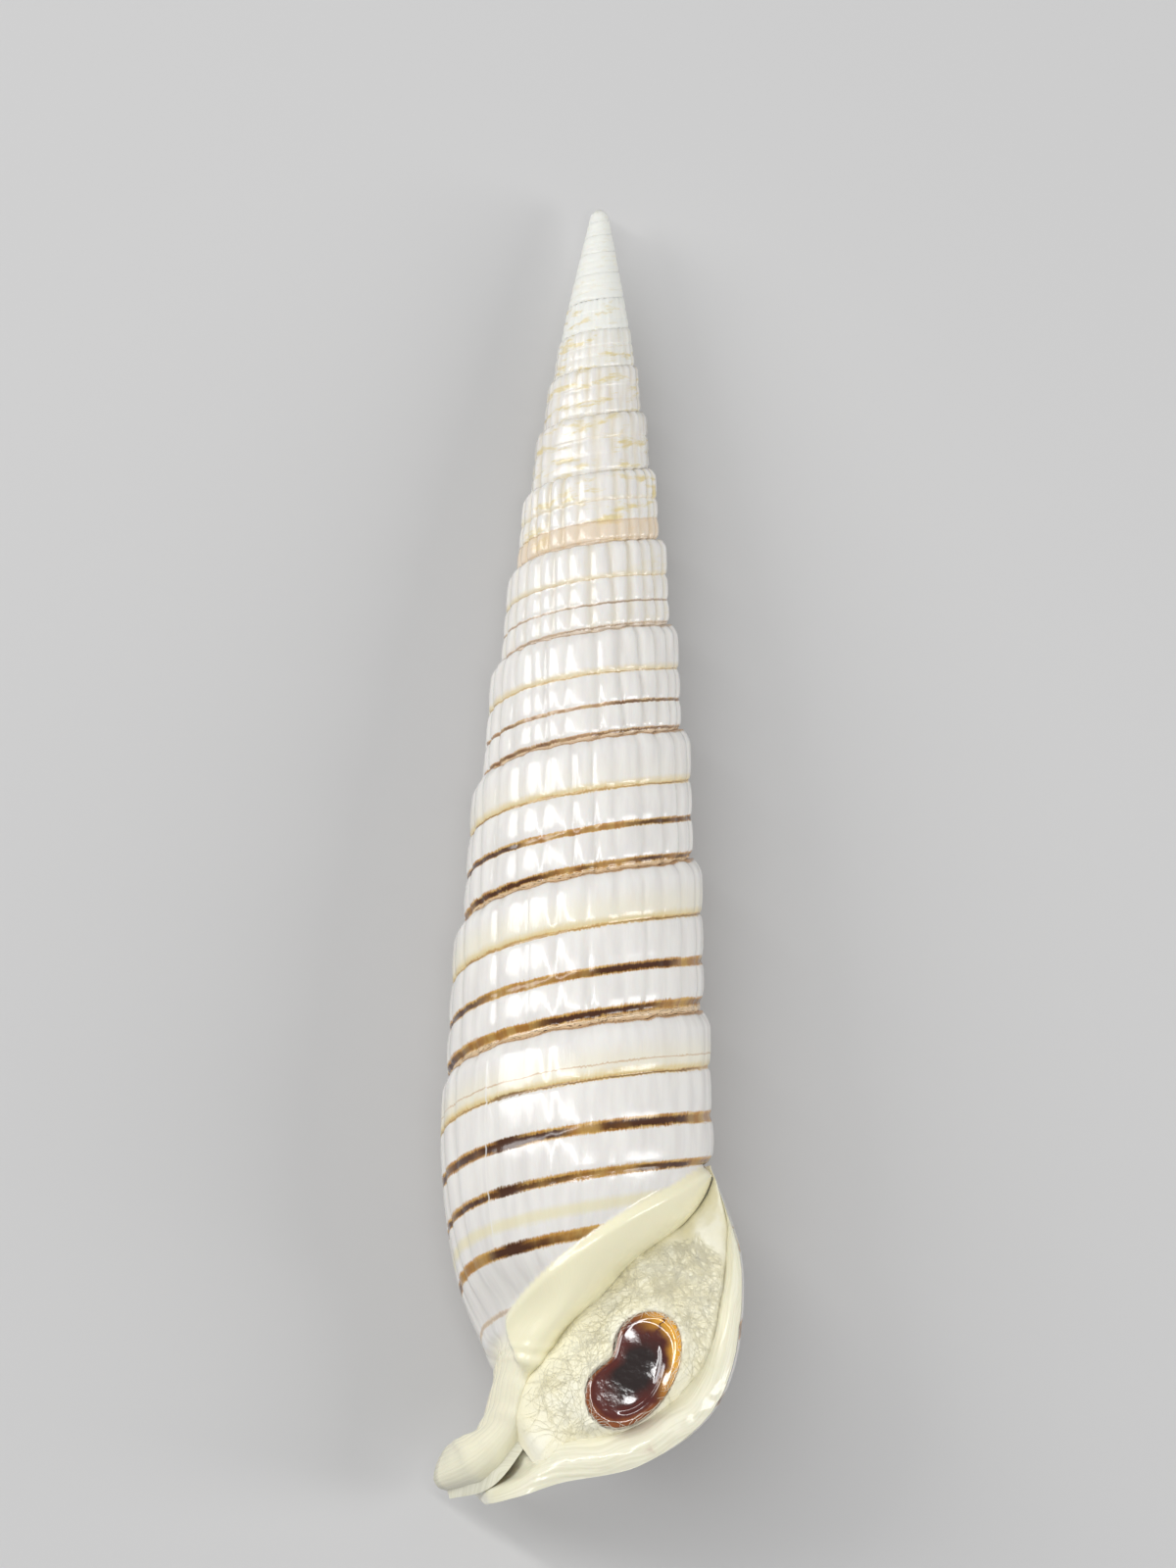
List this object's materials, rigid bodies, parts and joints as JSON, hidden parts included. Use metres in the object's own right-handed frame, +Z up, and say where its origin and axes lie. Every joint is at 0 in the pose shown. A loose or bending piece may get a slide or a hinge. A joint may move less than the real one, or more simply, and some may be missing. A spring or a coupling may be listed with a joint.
{
  "type": "creeper shell",
  "caption": "Tall narrow spiral seashell with a round mouth, packed with wadding and closed by its horny lid, lying on its back.",
  "frame": {"origin": "centre of the bounding box's bottom, on the surface the shell lies on", "axes": "+Y along the coiling axis toward the apex, +Z up with the mouth facing up, +X toward the outer lip"},
  "size_m": [0.0174, 0.0746, 0.0154],
  "materials": {
    "shell": "glossy porcelain white with thin amber-brown spiral lines",
    "cotton_wadding": "loose off-white cotton",
    "operculum": "glossy dark red-brown horn with an amber rim"
  },
  "bodies": {
    "root": {"shell": "shell", "cotton_wadding": "cotton_wadding", "operculum": "operculum"}
  },
  "joints": []
}
